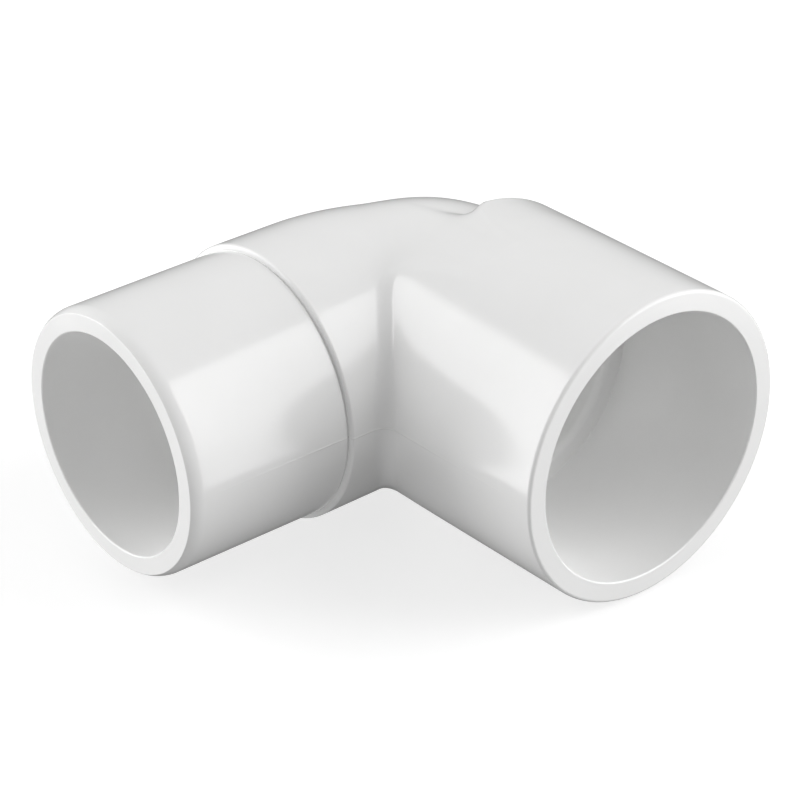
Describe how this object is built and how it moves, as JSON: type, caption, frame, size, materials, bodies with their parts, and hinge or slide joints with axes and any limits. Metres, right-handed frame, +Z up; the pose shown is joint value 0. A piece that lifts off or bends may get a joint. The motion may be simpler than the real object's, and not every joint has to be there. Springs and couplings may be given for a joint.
{
  "type": "pvc elbow fitting",
  "caption": "Ninety-degree street elbow in white PVC: a plain spigot with a shoulder at one end, a tapered slip socket with a pipe stop at the other.",
  "frame": {"origin": "under the middle of the elbow's box, on the surface that it lies on; the two bore axes cross at x -0.017575, y 0.0196, z 0.02838", "axes": "+X out of the slip socket, -Y out of the spigot, +Z up, square to the level plane that holds both bore axes"},
  "size_m": [0.0854, 0.096, 0.0568],
  "materials": {
    "white_pvc": "moulded, smooth, glossy"
  },
  "bodies": {
    "root": {"spigot": "white_pvc", "bend": "white_pvc", "socket_hub": "white_pvc"}
  },
  "joints": []
}
